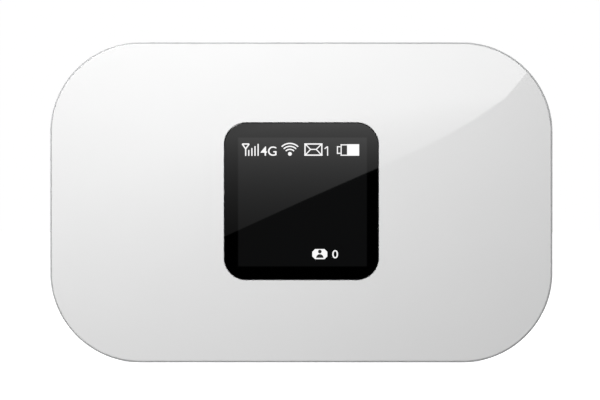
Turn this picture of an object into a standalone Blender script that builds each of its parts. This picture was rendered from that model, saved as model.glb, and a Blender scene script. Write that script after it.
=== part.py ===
"""Pocket mobile hotspot with a screen, a snap-off battery door and a removable battery.

It stands on its long lower edge. +X points to the right of the screen, +Y from the screen
to the battery door, +Z up. The origin is at the middle of the edge that it stands on.
Run with: blender --background --python part.py
"""

import math

import bmesh
import bpy
from mathutils import Vector

MM = 0.001

# Body
body_width = 99.0 * MM
body_height = 63.1 * MM
body_depth = 14.0 * MM
corner_radius = 17.4 * MM
corner_steps = 12
centre_z = body_height / 2
front_y = -body_depth / 2
rear_y = body_depth / 2

# Clearances
seam = 0.12 * MM  # seen between the covers and the frame band
fit_gap = 0.1 * MM  # between pieces that rest on each other
opening_gap = 0.4 * MM  # round a piece that stands in an opening of the chassis
through = 2.0 * MM  # how far a cutter runs past the wall that it cuts

# Frame band round the middle, which stands proud of both covers
band_depth = 8.0 * MM
band_wall = 1.2 * MM
band_chamfer = 0.1 * MM
cover_step = 0.25 * MM
band_front_y = -band_depth / 2
band_rear_y = band_depth / 2

# Front cover
front_wall = 1.2 * MM
front_edge_radius = 0.3 * MM
lip_outside = band_wall + 0.15 * MM  # inset of the lip that locates inside the band
lip_inside = 2.1 * MM
lip_reach = 1.1 * MM
edge_steps = 3

# Display window, glued into a recess of the front cover
window_width = 30.4 * MM
window_height = 30.9 * MM
window_radius = 4.0 * MM
window_thickness = 1.0 * MM
window_z = centre_z + 0.19 * MM
window_sink = 0.02 * MM
window_gap = 0.12 * MM
tape_thickness = 0.12 * MM
view_width = 27.0 * MM
view_height = 27.5 * MM
ledge_rim = 1.85 * MM
ledge_thickness = 0.9 * MM
ledge_y = front_y + window_sink + window_thickness + tape_thickness + fit_gap

# Main board
board_inset = 2.6 * MM
board_thickness = 0.8 * MM
board_front_y = -1.85 * MM
board_rear_y = board_front_y + board_thickness
front_parts_y = board_front_y - fit_gap
rear_parts_y = board_rear_y + 0.05 * MM

# Case screws, in two rows of three
screw_spacing_x = 31.0 * MM
screw_spacing_z = 26.0 * MM
screw_places = [(x * screw_spacing_x, z * screw_spacing_z) for z in (1, -1) for x in (-1, 0, 1)]
screw_radius = 0.8 * MM
screw_head_radius = 1.4 * MM
screw_head_height = 0.8 * MM
screw_length = 5.0 * MM
post_radius = 2.2 * MM

# Chassis, which carries the battery bay
chassis_wall = 1.0 * MM
chassis_front_y = -2.2 * MM
chassis_rear_y = 3.2 * MM
plate_front_y = 0.0 * MM
plate_rear_y = 0.9 * MM
bay_wall = 0.8 * MM
bay_wall_rear_y = 4.6 * MM
bay_corner = 0.4 * MM
bay_play = 0.15 * MM

# Battery
battery_left = -41.6 * MM
battery_right = 24.0 * MM
battery_height = 43.0 * MM
battery_front_y = 1.1 * MM
battery_rear_y = 5.62 * MM
battery_cap_length = 3.5 * MM
battery_corner = 1.6 * MM
terminal_height = 12.0 * MM
terminal_depth = 3.2 * MM
terminal_pocket = 0.6 * MM
label_thickness = 0.08 * MM
label_gap = 0.02 * MM
label_corner = 0.5 * MM
label_margin = 2.0 * MM
bay_label_x = -9.0 * MM
bay_label_width = 42.0 * MM
bay_label_height = 28.0 * MM

# Battery contacts
contact_left = 24.6 * MM
contact_depth = 3.2 * MM
contact_height = 12.0 * MM
contact_rear_y = 3.6 * MM
contact_pitch = 3.0 * MM
contact_count = 4
contact_slot_depth = 1.5 * MM
spring_width = 1.2 * MM
spring_thickness = 0.2 * MM
spring_play = 0.2 * MM
spring_root = 1.1 * MM  # from the block's face, as are the other reaches
spring_knee = 0.5 * MM
spring_nose = -0.25 * MM
spring_y = (0.15 * MM, 0.85 * MM, 1.6 * MM, 2.0 * MM, 2.7 * MM, 3.1 * MM)

# Card sockets, side by side with the battery
card_x = 36.5 * MM
sim_width = 12.0 * MM
sim_length = 15.0 * MM
sim_thickness = 0.76 * MM
sim_corner_cut = 2.5 * MM
sim_bottom = -21.5 * MM  # from the body's centre, as are the other heights of this group
sim_socket_width = 14.4 * MM
sim_socket_bottom = -22.5 * MM
sim_socket_top = -7.5 * MM
sim_socket_height = 1.5 * MM
memory_socket_width = 13.0 * MM
memory_socket_bottom = 9.0 * MM
memory_socket_top = 23.0 * MM
memory_socket_height = 1.7 * MM
memory_mouth_width = 11.2 * MM
memory_mouth_height = 1.15 * MM
pocket_left = 28.7 * MM
pocket_right = 44.4 * MM
pocket_bottom = -23.3 * MM
pocket_top = 23.8 * MM
pocket_corner = 2.0 * MM
socket_sheet = 0.25 * MM
socket_stop = 0.8 * MM

# Battery door
door_wall = 1.1 * MM
door_edge_radius = 1.6 * MM
door_inside = 1.5 * MM
clip_length = 5.0 * MM
clip_thickness = 0.8 * MM
clip_inset = 2.5 * MM
clip_front_y = 1.6 * MM
clip_offset_x = 7.0 * MM
clip_offset_z = 12.0 * MM
notch_length = 10.0 * MM
notch_radius = 7.0 * MM
notch_depth = 1.0 * MM

# Buttons in the top edge
button_x = 17.0 * MM
button_length = 11.0 * MM
button_width = 2.4 * MM
button_proud = 0.12 * MM
button_gap = 0.15 * MM
flange_length = 13.2 * MM
flange_width = 3.6 * MM
flange_top = body_height - 1.4 * MM
flange_thickness = 0.6 * MM
button_travel = 0.3 * MM
switch_length = 4.6 * MM
switch_height = 2.3 * MM
switch_depth = 1.6 * MM
switch_top = body_height - 2.9 * MM
plunger_length = 1.6 * MM
plunger_depth = 0.8 * MM
plunger_guide = 0.9 * MM  # depth of the hole in the switch
plunger_sink = 0.5 * MM  # how far the released plunger reaches into it

# Reset switch, pressed with a pin through the chassis
reset_x = -25.5 * MM
reset_z = centre_z + 25.3 * MM
reset_width = 3.0 * MM
reset_height = 2.6 * MM
reset_body = 0.8 * MM
reset_plunger_radius = 0.6 * MM
reset_plunger_front_y = -0.45 * MM
reset_plunger_rear_y = 0.35 * MM
reset_hole_radius = 1.0 * MM

# USB socket in the left edge
usb_y = 0.25 * MM
usb_shell_depth = 2.5 * MM
usb_shell_width = 7.5 * MM
usb_left = -48.2 * MM
usb_right = -43.2 * MM
usb_sheet = 0.3 * MM
usb_corner = 0.6 * MM
usb_tongue_width = 5.4 * MM
usb_tongue_front = 0.05 * MM  # in front of the socket's middle
usb_tongue_rear = 0.6 * MM
usb_tongue_sink = 1.2 * MM
usb_port_depth = 3.4 * MM
usb_port_width = 8.6 * MM

# Shield cans on the board's front, with the chips under them
shield_depth = 1.9 * MM
shield_sheet = 0.3 * MM
shield_corner = 0.8 * MM
chip_thickness = 0.9 * MM
modem_shield_place = (-29.3 * MM, -1.0 * MM)
modem_shield_size = (21.0 * MM, 30.0 * MM)
modem_chip_size = (12.0 * MM, 12.0 * MM)
memory_chip_size = (8.0 * MM, 10.0 * MM)
radio_shield_place = (28.5 * MM, 1.0 * MM)
radio_shield_size = (18.0 * MM, 26.0 * MM)
wireless_chip_size = (7.0 * MM, 7.0 * MM)
power_chip_size = (6.0 * MM, 8.0 * MM)
chip_spread = 6.5 * MM  # of each chip from the middle of its can

# Antennas: one at each end of the board, and a short one near its top edge
carrier_near_x = 41.6 * MM
carrier_far_x = 46.2 * MM
carrier_length = 34.0 * MM
carrier_front_y = -4.9 * MM
antenna_margin = 0.4 * MM
antenna_sheet = 0.25 * MM
antenna_slots = 6
antenna_slot_pitch = 5.0 * MM
antenna_slot_width = 1.0 * MM
antenna_slot_reach = 2.6 * MM
wireless_antenna_x = 15.5 * MM
wireless_antenna_width = 12.0 * MM
wireless_antenna_stand = 1.5 * MM
wireless_antenna_z = (20.3 * MM, 21.5 * MM, 21.9 * MM, 27.0 * MM)  # from the body's centre

# Display module
glass_width = 29.4 * MM
glass_bottom = -19.2 * MM  # from the body's centre, as are the other heights of this group
glass_top = 15.1 * MM
glass_thickness = 1.08 * MM
backlight_bottom = -15.9 * MM
backlight_thickness = 0.92 * MM
gasket_rim = 0.8 * MM
gasket_thickness = 0.18 * MM
holder_rim = 1.2 * MM
holder_play = 0.3 * MM
ribbon_width = 10.0 * MM
ribbon_thickness = 0.14 * MM
ribbon_bend = 0.58 * MM

finishes = {
    "white_gloss": ((0.86, 0.86, 0.86), 0.12, 0.0),
    "silver": ((0.60, 0.61, 0.62), 0.30, 0.8),
    "white_satin": ((0.83, 0.83, 0.83), 0.40, 0.0),
    "black_window": ((0.01, 0.01, 0.011), 0.04, 0.0),
    "black_plastic": ((0.03, 0.03, 0.032), 0.45, 0.0),
    "grey_plastic": ((0.22, 0.22, 0.23), 0.50, 0.0),
    "adhesive": ((0.02, 0.02, 0.02), 0.80, 0.0),
    "panel_glass": ((0.02, 0.022, 0.025), 0.15, 0.0),
    "backlight_white": ((0.80, 0.80, 0.78), 0.50, 0.0),
    "film_copper": ((0.55, 0.32, 0.10), 0.40, 0.0),
    "circuit_green": ((0.02, 0.12, 0.06), 0.40, 0.0),
    "steel": ((0.62, 0.62, 0.63), 0.30, 1.0),
    "gold": ((0.83, 0.61, 0.26), 0.25, 1.0),
    "chip_black": ((0.02, 0.02, 0.022), 0.50, 0.0),
    "battery_grey": ((0.32, 0.33, 0.35), 0.45, 0.6),
    "label_white": ((0.78, 0.78, 0.76), 0.60, 0.0),
    "card_white": ((0.84, 0.84, 0.82), 0.40, 0.0),
}


# ---- Building blocks ----


def clear_scene():
    for thing in list(bpy.data.objects):
        bpy.data.objects.remove(thing, do_unlink=True)


def finish_of(name):
    """The material of that name, made on its first use."""
    found = bpy.data.materials.get(name)
    if found:
        return found
    colour, roughness, metallic = finishes[name]
    made = bpy.data.materials.new(name)
    made.use_nodes = True
    shader = made.node_tree.nodes["Principled BSDF"]
    shader.inputs["Base Color"].default_value = (*colour, 1.0)
    shader.inputs["Roughness"].default_value = roughness
    shader.inputs["Metallic"].default_value = metallic
    made.diffuse_color = (*colour, 1.0)
    return made


def rounded_outline(width, height, radius, steps):
    """Points of a rectangle with round corners about the origin, anticlockwise."""
    points = []
    for corner, (side_u, side_v) in enumerate(((1, 1), (-1, 1), (-1, -1), (1, -1))):
        centre_u = side_u * (width / 2 - radius)
        centre_v = side_v * (height / 2 - radius)
        for step in range(steps + 1):
            angle = (corner + step / steps) * math.pi / 2
            points.append((centre_u + radius * math.cos(angle), centre_v + radius * math.sin(angle)))
    return points


def along(axis, u, v, level):
    """A point whose outline lies across the axis: X and Z for Y, X and Y for Z, Y and Z for X."""
    return Vector({"X": (level, u, v), "Y": (u, level, v), "Z": (u, v, level)}[axis])


def new_object(name, finish, shape, location):
    """An object of that finish from a bmesh, with its faces pointing outwards."""
    bmesh.ops.remove_doubles(shape, verts=shape.verts, dist=0.0005 * MM)
    bmesh.ops.recalc_face_normals(shape, faces=shape.faces)
    mesh = bpy.data.meshes.new(name)
    shape.to_mesh(mesh)
    shape.free()
    mesh.shade_smooth()
    mesh.set_sharp_from_angle(angle=math.radians(32))
    if finish:
        mesh.materials.append(finish_of(finish))
    made = bpy.data.objects.new(name, mesh)
    made.location = location
    bpy.context.scene.collection.objects.link(made)
    return made


def loft(name, finish, location, loops, ring=False):
    """A solid through loops of equally many points. A ring joins the last loop to the first."""
    shape = bmesh.new()
    rows = [[shape.verts.new(point) for point in loop] for loop in loops]
    pairs = list(zip(rows, rows[1:] + rows[:1])) if ring else list(zip(rows, rows[1:]))
    for row, following in pairs:
        for here in range(len(row)):
            after = (here + 1) % len(row)
            shape.faces.new((row[here], row[after], following[after], following[here]))
    if not ring:
        shape.faces.new(rows[0])
        shape.faces.new(rows[-1])
    return new_object(name, finish, shape, location)


def stack(name, finish, centre, axis, levels, steps=4, ring=False):
    """A solid through rounded rectangles, each (width, height, radius, level along the axis)."""
    loops = []
    for width, height, radius, level in levels:
        outline = rounded_outline(width, height, radius, steps)
        loops.append([along(axis, u, v, level) for u, v in outline])
    return loft(name, finish, centre, loops, ring)


def prism(name, finish, centre, axis, width, height, radius, start, end, steps=4):
    """A rounded rectangle extruded along the axis from start to end, measured from the centre."""
    levels = [(width, height, radius, start), (width, height, radius, end)]
    return stack(name, finish, centre, axis, levels, steps)


def rod(name, finish, centre, axis, radius, start, end, steps=4):
    """A round bar along the axis."""
    return prism(name, finish, centre, axis, 2 * radius, 2 * radius, radius, start, end, steps)


def block(name, finish, low, high, edge=0.0):
    """A box between two corners, with its edges chamfered."""
    low, high = Vector(low), Vector(high)
    shape = bmesh.new()
    bmesh.ops.create_cube(shape, size=1.0)
    bmesh.ops.scale(shape, vec=high - low, verts=shape.verts)
    if edge:
        bmesh.ops.bevel(shape, geom=shape.edges[:], offset=edge, segments=1, affect="EDGES")
    return new_object(name, finish, shape, (low + high) / 2)


def strip(name, finish, location, path, across, width, thickness):
    """A bent strip of sheet along a path, with its width along the direction across."""
    path = [Vector(point) for point in path]
    across = Vector(across).normalized()
    loops = []
    for here, point in enumerate(path):
        before = path[max(here - 1, 0)]
        after = path[min(here + 1, len(path) - 1)]
        side = (after - before).normalized().cross(across) * (thickness / 2)
        edge = across * (width / 2)
        loops.append([point + side + edge, point - side + edge, point - side - edge, point + side - edge])
    return loft(name, finish, location, loops)


def combine(target, operation, others):
    """Cuts the others from the target, or joins them to it, and keeps them as hidden helpers."""
    helpers = bpy.data.collections.new(f"{target.name}_{operation.lower()}")
    bpy.context.scene.collection.children.link(helpers)
    helpers.hide_render = True
    for other in others:
        bpy.context.scene.collection.objects.unlink(other)
        helpers.objects.link(other)
        other.hide_render = True
        other.display_type = "WIRE"
    boolean = target.modifiers.new(operation.lower(), "BOOLEAN")
    boolean.operation = operation
    boolean.solver = "EXACT"
    boolean.operand_type = "COLLECTION"
    boolean.collection = helpers
    return target


def carve(target, *cutters):
    return combine(target, "DIFFERENCE", cutters)


def weld(target, *pieces):
    return combine(target, "UNION", pieces)


def mover(name, location, *pieces):
    """An empty on a joint's axis that carries the pieces of one moving body."""
    empty = bpy.data.objects.new(name, None)
    empty.empty_display_size = 5 * MM
    empty.location = location
    bpy.context.scene.collection.objects.link(empty)
    for piece in pieces:
        piece.parent = empty
        piece.location -= Vector(location)
    return empty


def body_level(inset, y):
    """The body's outline moved inwards by inset, at depth y."""
    return (body_width - 2 * inset, body_height - 2 * inset, corner_radius - inset, y)


def rounded_edge(face_y, inward, inset, radius):
    """Body levels of a cover's round edge, from its face towards the band."""
    levels = []
    for step in range(edge_steps + 1):
        angle = step / edge_steps * math.pi / 2
        level_inset = inset + radius * (1 - math.sin(angle))
        levels.append(body_level(level_inset, face_y + inward * radius * (1 - math.cos(angle))))
    return levels


def at_body(x=0.0, y=0.0, z=0.0):
    """A point given from the middle of the body."""
    return Vector((x, y, centre_z + z))


def screw_points():
    return [(number, at_body(x, 0, z)) for number, (x, z) in enumerate(screw_places, start=1)]


# ---- Casing ----


def make_front_cover():
    """Glossy front shell: a pan with a locating lip, screw posts and the window's ledge."""
    inner_y = front_y + front_wall
    levels = rounded_edge(front_y, 1, cover_step, front_edge_radius)
    levels += [
        body_level(cover_step, band_front_y - seam),
        body_level(lip_outside, band_front_y - seam),
        body_level(lip_outside, band_front_y + lip_reach),
        body_level(lip_inside, band_front_y + lip_reach),
        body_level(lip_inside, inner_y),
    ]
    cover = stack("front_cover", "white_gloss", at_body(), "Y", levels, corner_steps)
    window_centre = Vector((0, 0, window_z))
    recess_width = window_width + 2 * window_gap
    recess_height = window_height + 2 * window_gap
    recess_radius = window_radius + window_gap
    ledge = prism("window_ledge", "white_gloss", window_centre, "Y", recess_width + 2 * ledge_rim,
                  recess_height + 2 * ledge_rim, recess_radius + ledge_rim,
                  front_y + front_wall / 2, ledge_y + ledge_thickness)
    posts = [
        rod(f"post_{number}", "white_gloss", point, "Y", post_radius, front_y + front_wall / 2,
            board_front_y - fit_gap)
        for number, point in screw_points()
    ]
    weld(cover, ledge, *posts)
    recess = prism("window_recess", None, window_centre, "Y", recess_width, recess_height,
                   recess_radius, front_y - through, ledge_y)
    opening = prism("view_opening", None, window_centre, "Y", view_width, view_height, 1.0 * MM,
                    front_y - through, ledge_y + ledge_thickness + through)
    pilots = [
        rod(f"pilot_{number}", None, point, "Y", screw_radius + 0.05 * MM, inner_y + 0.6 * MM,
            board_front_y + through)
        for number, point in screw_points()
    ]
    carve(cover, recess, opening, *pilots)


def make_window():
    """Clear window with a black printed border, and the ring of tape that holds it."""
    centre = Vector((0, 0, window_z))
    window_front = front_y + window_sink
    edge = 0.15 * MM
    levels = [
        (window_width - 2 * edge, window_height - 2 * edge, window_radius - edge, window_front),
        (window_width, window_height, window_radius, window_front + edge),
        (window_width, window_height, window_radius, window_front + window_thickness),
    ]
    stack("display_window", "black_window", centre, "Y", levels, steps=6)
    tape_y = window_front + window_thickness + fit_gap / 2
    margin = 0.3 * MM
    outer = (window_width - margin, window_height - margin, window_radius - margin / 2)
    inner = (view_width + margin, view_height + margin, 1.0 * MM)
    levels = [
        (*outer, tape_y),
        (*outer, tape_y + tape_thickness),
        (*inner, tape_y + tape_thickness),
        (*inner, tape_y),
    ]
    stack("window_tape", "adhesive", centre, "Y", levels, ring=True)


def make_mid_frame():
    """Silver band round the middle, open for the two buttons and the USB socket."""
    levels = [
        body_level(band_chamfer, band_front_y),
        body_level(0, band_front_y + band_chamfer),
        body_level(0, band_rear_y - band_chamfer),
        body_level(band_chamfer, band_rear_y),
        body_level(band_wall, band_rear_y),
        body_level(band_wall, band_front_y),
    ]
    band = stack("mid_frame", "silver", at_body(), "Y", levels, corner_steps, ring=True)
    slot_length = button_length + 2 * button_gap
    slot_width = button_width + 2 * button_gap
    slots = [
        prism(f"button_slot_{side}", None, (side * button_x, 0, 0), "Z", slot_length, slot_width,
              slot_width / 2, body_height - band_wall - through, body_height + through)
        for side in (-1, 1)
    ]
    port = prism("usb_port", None, at_body(y=usb_y), "X", usb_port_depth, usb_port_width, 1.2 * MM,
                 -body_width / 2 - through, -body_width / 2 + band_wall + through)
    carve(band, port, *slots)


def make_chassis():
    """Inner chassis: a wall behind the band, a plate over the board and the battery bay."""
    wall_outer, wall_inner = lip_outside, lip_outside + chassis_wall
    levels = [
        body_level(wall_outer, chassis_front_y),
        body_level(wall_outer, chassis_rear_y),
        body_level(wall_inner, chassis_rear_y),
        body_level(wall_inner, chassis_front_y),
    ]
    chassis = stack("chassis", "grey_plastic", at_body(), "Y", levels, corner_steps, ring=True)
    middle_inset = (wall_outer + wall_inner) / 2
    plate_levels = [body_level(middle_inset, plate_front_y), body_level(middle_inset, plate_rear_y)]
    plate = stack("chassis_plate", "grey_plastic", at_body(), "Y", plate_levels, corner_steps)

    bay_x = (battery_left + battery_right) / 2
    inner = (battery_right - battery_left + 2 * bay_play, battery_height + 2 * bay_play, bay_corner)
    outer = (inner[0] + 2 * bay_wall, inner[1] + 2 * bay_wall, bay_corner + bay_wall)
    root_y = (plate_front_y + plate_rear_y) / 2
    bay_levels = [
        (*outer, root_y),
        (*outer, bay_wall_rear_y),
        (*inner, bay_wall_rear_y),
        (*inner, root_y),
    ]
    bay = stack("bay_walls", "grey_plastic", at_body(x=bay_x), "Y", bay_levels, ring=True)
    sleeves = [
        rod(f"sleeve_{number}", "grey_plastic", point, "Y", post_radius - 0.1 * MM,
            board_rear_y + fit_gap, root_y)
        for number, point in screw_points()
    ]
    weld(chassis, plate, bay, *sleeves)

    holes = [
        rod(f"screw_hole_{number}", None, point, "Y", screw_radius + 0.15 * MM,
            board_rear_y - through, plate_rear_y + through)
        for number, point in screw_points()
    ]
    pocket_centre = at_body(x=(pocket_left + pocket_right) / 2, z=(pocket_bottom + pocket_top) / 2)
    pocket = prism("card_pocket", None, pocket_centre, "Y", pocket_right - pocket_left,
                   pocket_top - pocket_bottom, pocket_corner, plate_front_y - through,
                   plate_rear_y + through)
    contact_reach = contact_height / 2 + opening_gap
    contact_hole = block("contact_hole", None,
                         at_body(battery_right, plate_front_y - through, -contact_reach),
                         at_body(contact_left + contact_depth + opening_gap,
                                 bay_wall_rear_y + through, contact_reach))
    usb_reach_y = usb_shell_depth / 2 + opening_gap
    usb_reach_z = usb_shell_width / 2 + opening_gap
    usb_hole = block("usb_hole", None, at_body(-body_width / 2, usb_y - usb_reach_y, -usb_reach_z),
                     at_body(usb_right + opening_gap, usb_y + usb_reach_y, usb_reach_z))
    reset_hole = rod("reset_hole", None, (reset_x, 0, reset_z), "Y", reset_hole_radius,
                     plate_front_y - through, plate_rear_y + through)
    openings = []
    for side in (-1, 1):
        x = side * button_x
        flange_reach = flange_length / 2 + opening_gap
        openings.append(block(f"flange_opening_{side}", None,
                              (x - flange_reach, chassis_front_y - through, switch_top + fit_gap),
                              (x + flange_reach, flange_width / 2 + opening_gap, body_height)))
        switch_reach = switch_length / 2 + opening_gap
        openings.append(block(f"switch_opening_{side}", None,
                              (x - switch_reach, plate_front_y - through,
                               switch_top - switch_height - opening_gap),
                              (x + switch_reach, plate_rear_y + fit_gap, switch_top + opening_gap)))
    carve(chassis, pocket, contact_hole, usb_hole, reset_hole, *openings, *holes)


def make_rear_cover():
    """Battery door: a pan with eight clip tabs and a fingernail notch in its right side."""
    levels = rounded_edge(rear_y, -1, cover_step, door_edge_radius)
    levels += [
        body_level(cover_step, band_rear_y + seam),
        body_level(door_inside, band_rear_y + seam),
        body_level(door_inside, rear_y - door_wall),
    ]
    door = stack("rear_cover", "white_satin", at_body(), "Y", levels, corner_steps)
    root_y = rear_y - door_wall / 2
    clips = []
    for side in (-1, 1):
        for offset in (-1, 1):
            z = side * (body_height / 2 - clip_inset - clip_thickness / 2)
            x = offset * clip_offset_x
            clips.append(block(f"clip_z{side}_{offset}", "white_satin",
                               at_body(x - clip_length / 2, clip_front_y, z - clip_thickness / 2),
                               at_body(x + clip_length / 2, root_y, z + clip_thickness / 2)))
            x = side * (body_width / 2 - clip_inset - clip_thickness / 2)
            z = offset * clip_offset_z
            clips.append(block(f"clip_x{side}_{offset}", "white_satin",
                               at_body(x - clip_thickness / 2, clip_front_y, z - clip_length / 2),
                               at_body(x + clip_thickness / 2, root_y, z + clip_length / 2)))
    weld(door, *clips)
    notch_x = body_width / 2 - cover_step + notch_radius - notch_depth
    notch = rod("nail_notch", None, at_body(x=notch_x), "Y", notch_radius,
                band_rear_y - through, band_rear_y + seam + notch_depth, steps=8)
    carve(door, notch)
    mover("rear_cover_slide", at_body(y=band_rear_y), door)


# ---- Buttons and switches ----


def make_button(name, x):
    """A key cap with a flange behind the band, and the side-push switch under it."""
    flange = (flange_length, flange_width, flange_width / 2)
    cap = (button_length, button_width, button_width / 2)
    edge = 0.2 * MM
    crown = (button_length - 2 * edge, button_width - 2 * edge, button_width / 2 - edge)
    top = body_height + button_proud
    levels = [
        (*flange, flange_top - flange_thickness),
        (*flange, flange_top),
        (*cap, flange_top),
        (*cap, top - edge),
        (*crown, top),
    ]
    key = stack(f"{name}_button", "silver", (x, 0, 0), "Z", levels)
    switch_y = rear_parts_y + switch_depth / 2
    plunger_top = flange_top - flange_thickness - fit_gap / 2
    plunger = block(f"{name}_plunger", "black_plastic",
                    (x - plunger_length / 2, switch_y - plunger_depth / 2, switch_top - plunger_sink),
                    (x + plunger_length / 2, switch_y + plunger_depth / 2, plunger_top))
    switch = block(f"{name}_switch", "steel",
                   (x - switch_length / 2, rear_parts_y, switch_top - switch_height),
                   (x + switch_length / 2, rear_parts_y + switch_depth, switch_top), edge=0.1 * MM)
    reach_x = plunger_length / 2 + fit_gap
    reach_y = plunger_depth / 2 + fit_gap
    guide = block(f"{name}_guide", None,
                  (x - reach_x, switch_y - reach_y, switch_top - plunger_guide),
                  (x + reach_x, switch_y + reach_y, switch_top + through))
    carve(switch, guide)
    mover(f"{name}_press", (x, 0, body_height), key, plunger)


def make_reset():
    """Small upright switch that is pressed with a pin."""
    centre = Vector((reset_x, 0, reset_z))
    body = prism("reset_switch", "steel", centre, "Y", reset_width, reset_height, 0.3 * MM,
                 rear_parts_y, rear_parts_y + reset_body, steps=2)
    guide = rod("reset_guide", None, centre, "Y", reset_plunger_radius + fit_gap,
                reset_plunger_front_y - button_travel - fit_gap, rear_parts_y + reset_body + through)
    carve(body, guide)
    plunger = rod("reset_plunger", "black_plastic", centre, "Y", reset_plunger_radius,
                  reset_plunger_front_y, reset_plunger_rear_y)
    mover("reset_press", centre, plunger)


# ---- Display ----


def make_display():
    """Panel, backlight, holder tray, gasket and the ribbon that plugs into the board."""
    gasket_y = ledge_y + ledge_thickness + fit_gap / 2
    gasket_inner = (view_width + 0.4 * MM, view_height + 0.4 * MM, 1.0 * MM)
    gasket_outer = (gasket_inner[0] + 2 * gasket_rim, gasket_inner[1] + 2 * gasket_rim, 1.4 * MM)
    levels = [
        (*gasket_outer, gasket_y),
        (*gasket_outer, gasket_y + gasket_thickness),
        (*gasket_inner, gasket_y + gasket_thickness),
        (*gasket_inner, gasket_y),
    ]
    stack("display_gasket", "adhesive", (0, 0, window_z), "Y", levels, ring=True)

    glass_y = gasket_y + gasket_thickness + fit_gap / 2
    glass_rear_y = glass_y + glass_thickness
    glass_height = glass_top - glass_bottom
    glass_centre = at_body(z=(glass_top + glass_bottom) / 2)
    prism("display_glass", "panel_glass", glass_centre, "Y", glass_width, glass_height, 0.4 * MM,
          glass_y, glass_rear_y, steps=2)
    backlight_y = glass_rear_y + fit_gap / 2
    backlight_rear_y = backlight_y + backlight_thickness
    prism("display_backlight", "backlight_white", at_body(z=(glass_top + backlight_bottom) / 2), "Y",
          glass_width, glass_top - backlight_bottom, 0.6 * MM, backlight_y, backlight_rear_y, steps=2)

    inner = (glass_width + 2 * holder_play, glass_height + 2 * holder_play, 0.8 * MM)
    outer = (inner[0] + 2 * holder_rim, inner[1] + 2 * holder_rim, 1.6 * MM)
    levels = [
        (*outer, front_parts_y),
        (*outer, backlight_y),
        (*inner, backlight_y),
        (*inner, backlight_rear_y + fit_gap),
    ]
    holder = stack("display_holder", "black_plastic", glass_centre, "Y", levels)
    ribbon_hole = block("ribbon_hole", None,
                        at_body(-ribbon_width / 2 - 1.0 * MM, glass_y, glass_bottom - 3.0 * MM),
                        at_body(ribbon_width / 2 + 1.0 * MM, board_front_y + through,
                                backlight_bottom - 0.1 * MM))
    carve(holder, ribbon_hole)

    start_y = glass_rear_y + fit_gap
    turn_z = centre_z + glass_bottom + 0.05 * MM
    path = [(0, start_y, centre_z + backlight_bottom - 0.6 * MM)]
    bend_steps = 8
    for step in range(bend_steps + 1):
        angle = math.pi * step / bend_steps
        across = ribbon_bend * (1 - math.cos(angle))
        path.append((0, start_y + across, turn_z - ribbon_bend * math.sin(angle)))
    plug_z = turn_z + 0.15 * MM
    path.append((0, path[-1][1], plug_z))
    strip("display_ribbon", "film_copper", (0, 0, 0), path, (1, 0, 0), ribbon_width, ribbon_thickness)
    block("ribbon_connector", "black_plastic",
          (-ribbon_width / 2 - 0.5 * MM, front_parts_y - 0.85 * MM, plug_z + 0.05 * MM),
          (ribbon_width / 2 + 0.5 * MM, front_parts_y, plug_z + 2.4 * MM), edge=0.1 * MM)


# ---- Electronics ----


def make_board():
    levels = [body_level(board_inset, board_front_y), body_level(board_inset, board_rear_y)]
    board = stack("main_board", "circuit_green", at_body(), "Y", levels, corner_steps)
    holes = [
        rod(f"board_hole_{number}", None, point, "Y", screw_radius + 0.3 * MM,
            board_front_y - through, board_rear_y + through)
        for number, point in screw_points()
    ]
    carve(board, *holes)


def make_shield(name, place, size, chips):
    """A pressed shield can on the board's front, over a lower and an upper chip (name, size)."""
    centre = at_body(x=place[0], z=place[1])
    width, height = size
    outer = (width, height, shield_corner)
    inner = (width - 2 * shield_sheet, height - 2 * shield_sheet, shield_corner - shield_sheet)
    levels = [
        (*outer, front_parts_y - shield_depth),
        (*outer, front_parts_y),
        (*inner, front_parts_y),
        (*inner, front_parts_y - shield_depth + shield_sheet),
    ]
    stack(name, "steel", centre, "Y", levels, steps=3)
    for side, (chip, (chip_width, chip_height)) in zip((-1, 1), chips):
        half = Vector((chip_width / 2, chip_thickness / 2, chip_height / 2))
        middle = centre + Vector((0, front_parts_y - chip_thickness / 2, side * chip_spread))
        block(chip, "chip_black", middle - half, middle + half, edge=0.08 * MM)


def make_shields():
    make_shield("modem_shield", modem_shield_place, modem_shield_size,
                [("modem_chip", modem_chip_size), ("memory_chip", memory_chip_size)])
    make_shield("radio_shield", radio_shield_place, radio_shield_size,
                [("power_chip", power_chip_size), ("wireless_chip", wireless_chip_size)])


def make_antenna(name, carrier_name, side):
    """A stamped antenna on its plastic carrier at one end of the board."""
    width = carrier_far_x - carrier_near_x
    centre_x = side * (carrier_near_x + carrier_far_x) / 2
    centre = at_body(x=centre_x)
    prism(carrier_name, "black_plastic", centre, "Y", width, carrier_length, 1.0 * MM,
          carrier_front_y, front_parts_y, steps=3)
    sheet_rear_y = carrier_front_y - label_gap
    sheet = prism(name, "gold", centre, "Y", width - 2 * antenna_margin,
                  carrier_length - 2 * antenna_margin, 0.4 * MM, sheet_rear_y - antenna_sheet,
                  sheet_rear_y, steps=2)
    slots = []
    for slot in range(antenna_slots):
        z = (slot - (antenna_slots - 1) / 2) * antenna_slot_pitch
        edge_x = centre_x + (1 if slot % 2 else -1) * width / 2
        slots.append(block(f"{name}_slot_{slot}", None,
                           at_body(edge_x - antenna_slot_reach, sheet_rear_y - through,
                                   z - antenna_slot_width / 2),
                           at_body(edge_x + antenna_slot_reach, sheet_rear_y + through,
                                   z + antenna_slot_width / 2)))
    carve(sheet, *slots)


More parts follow.
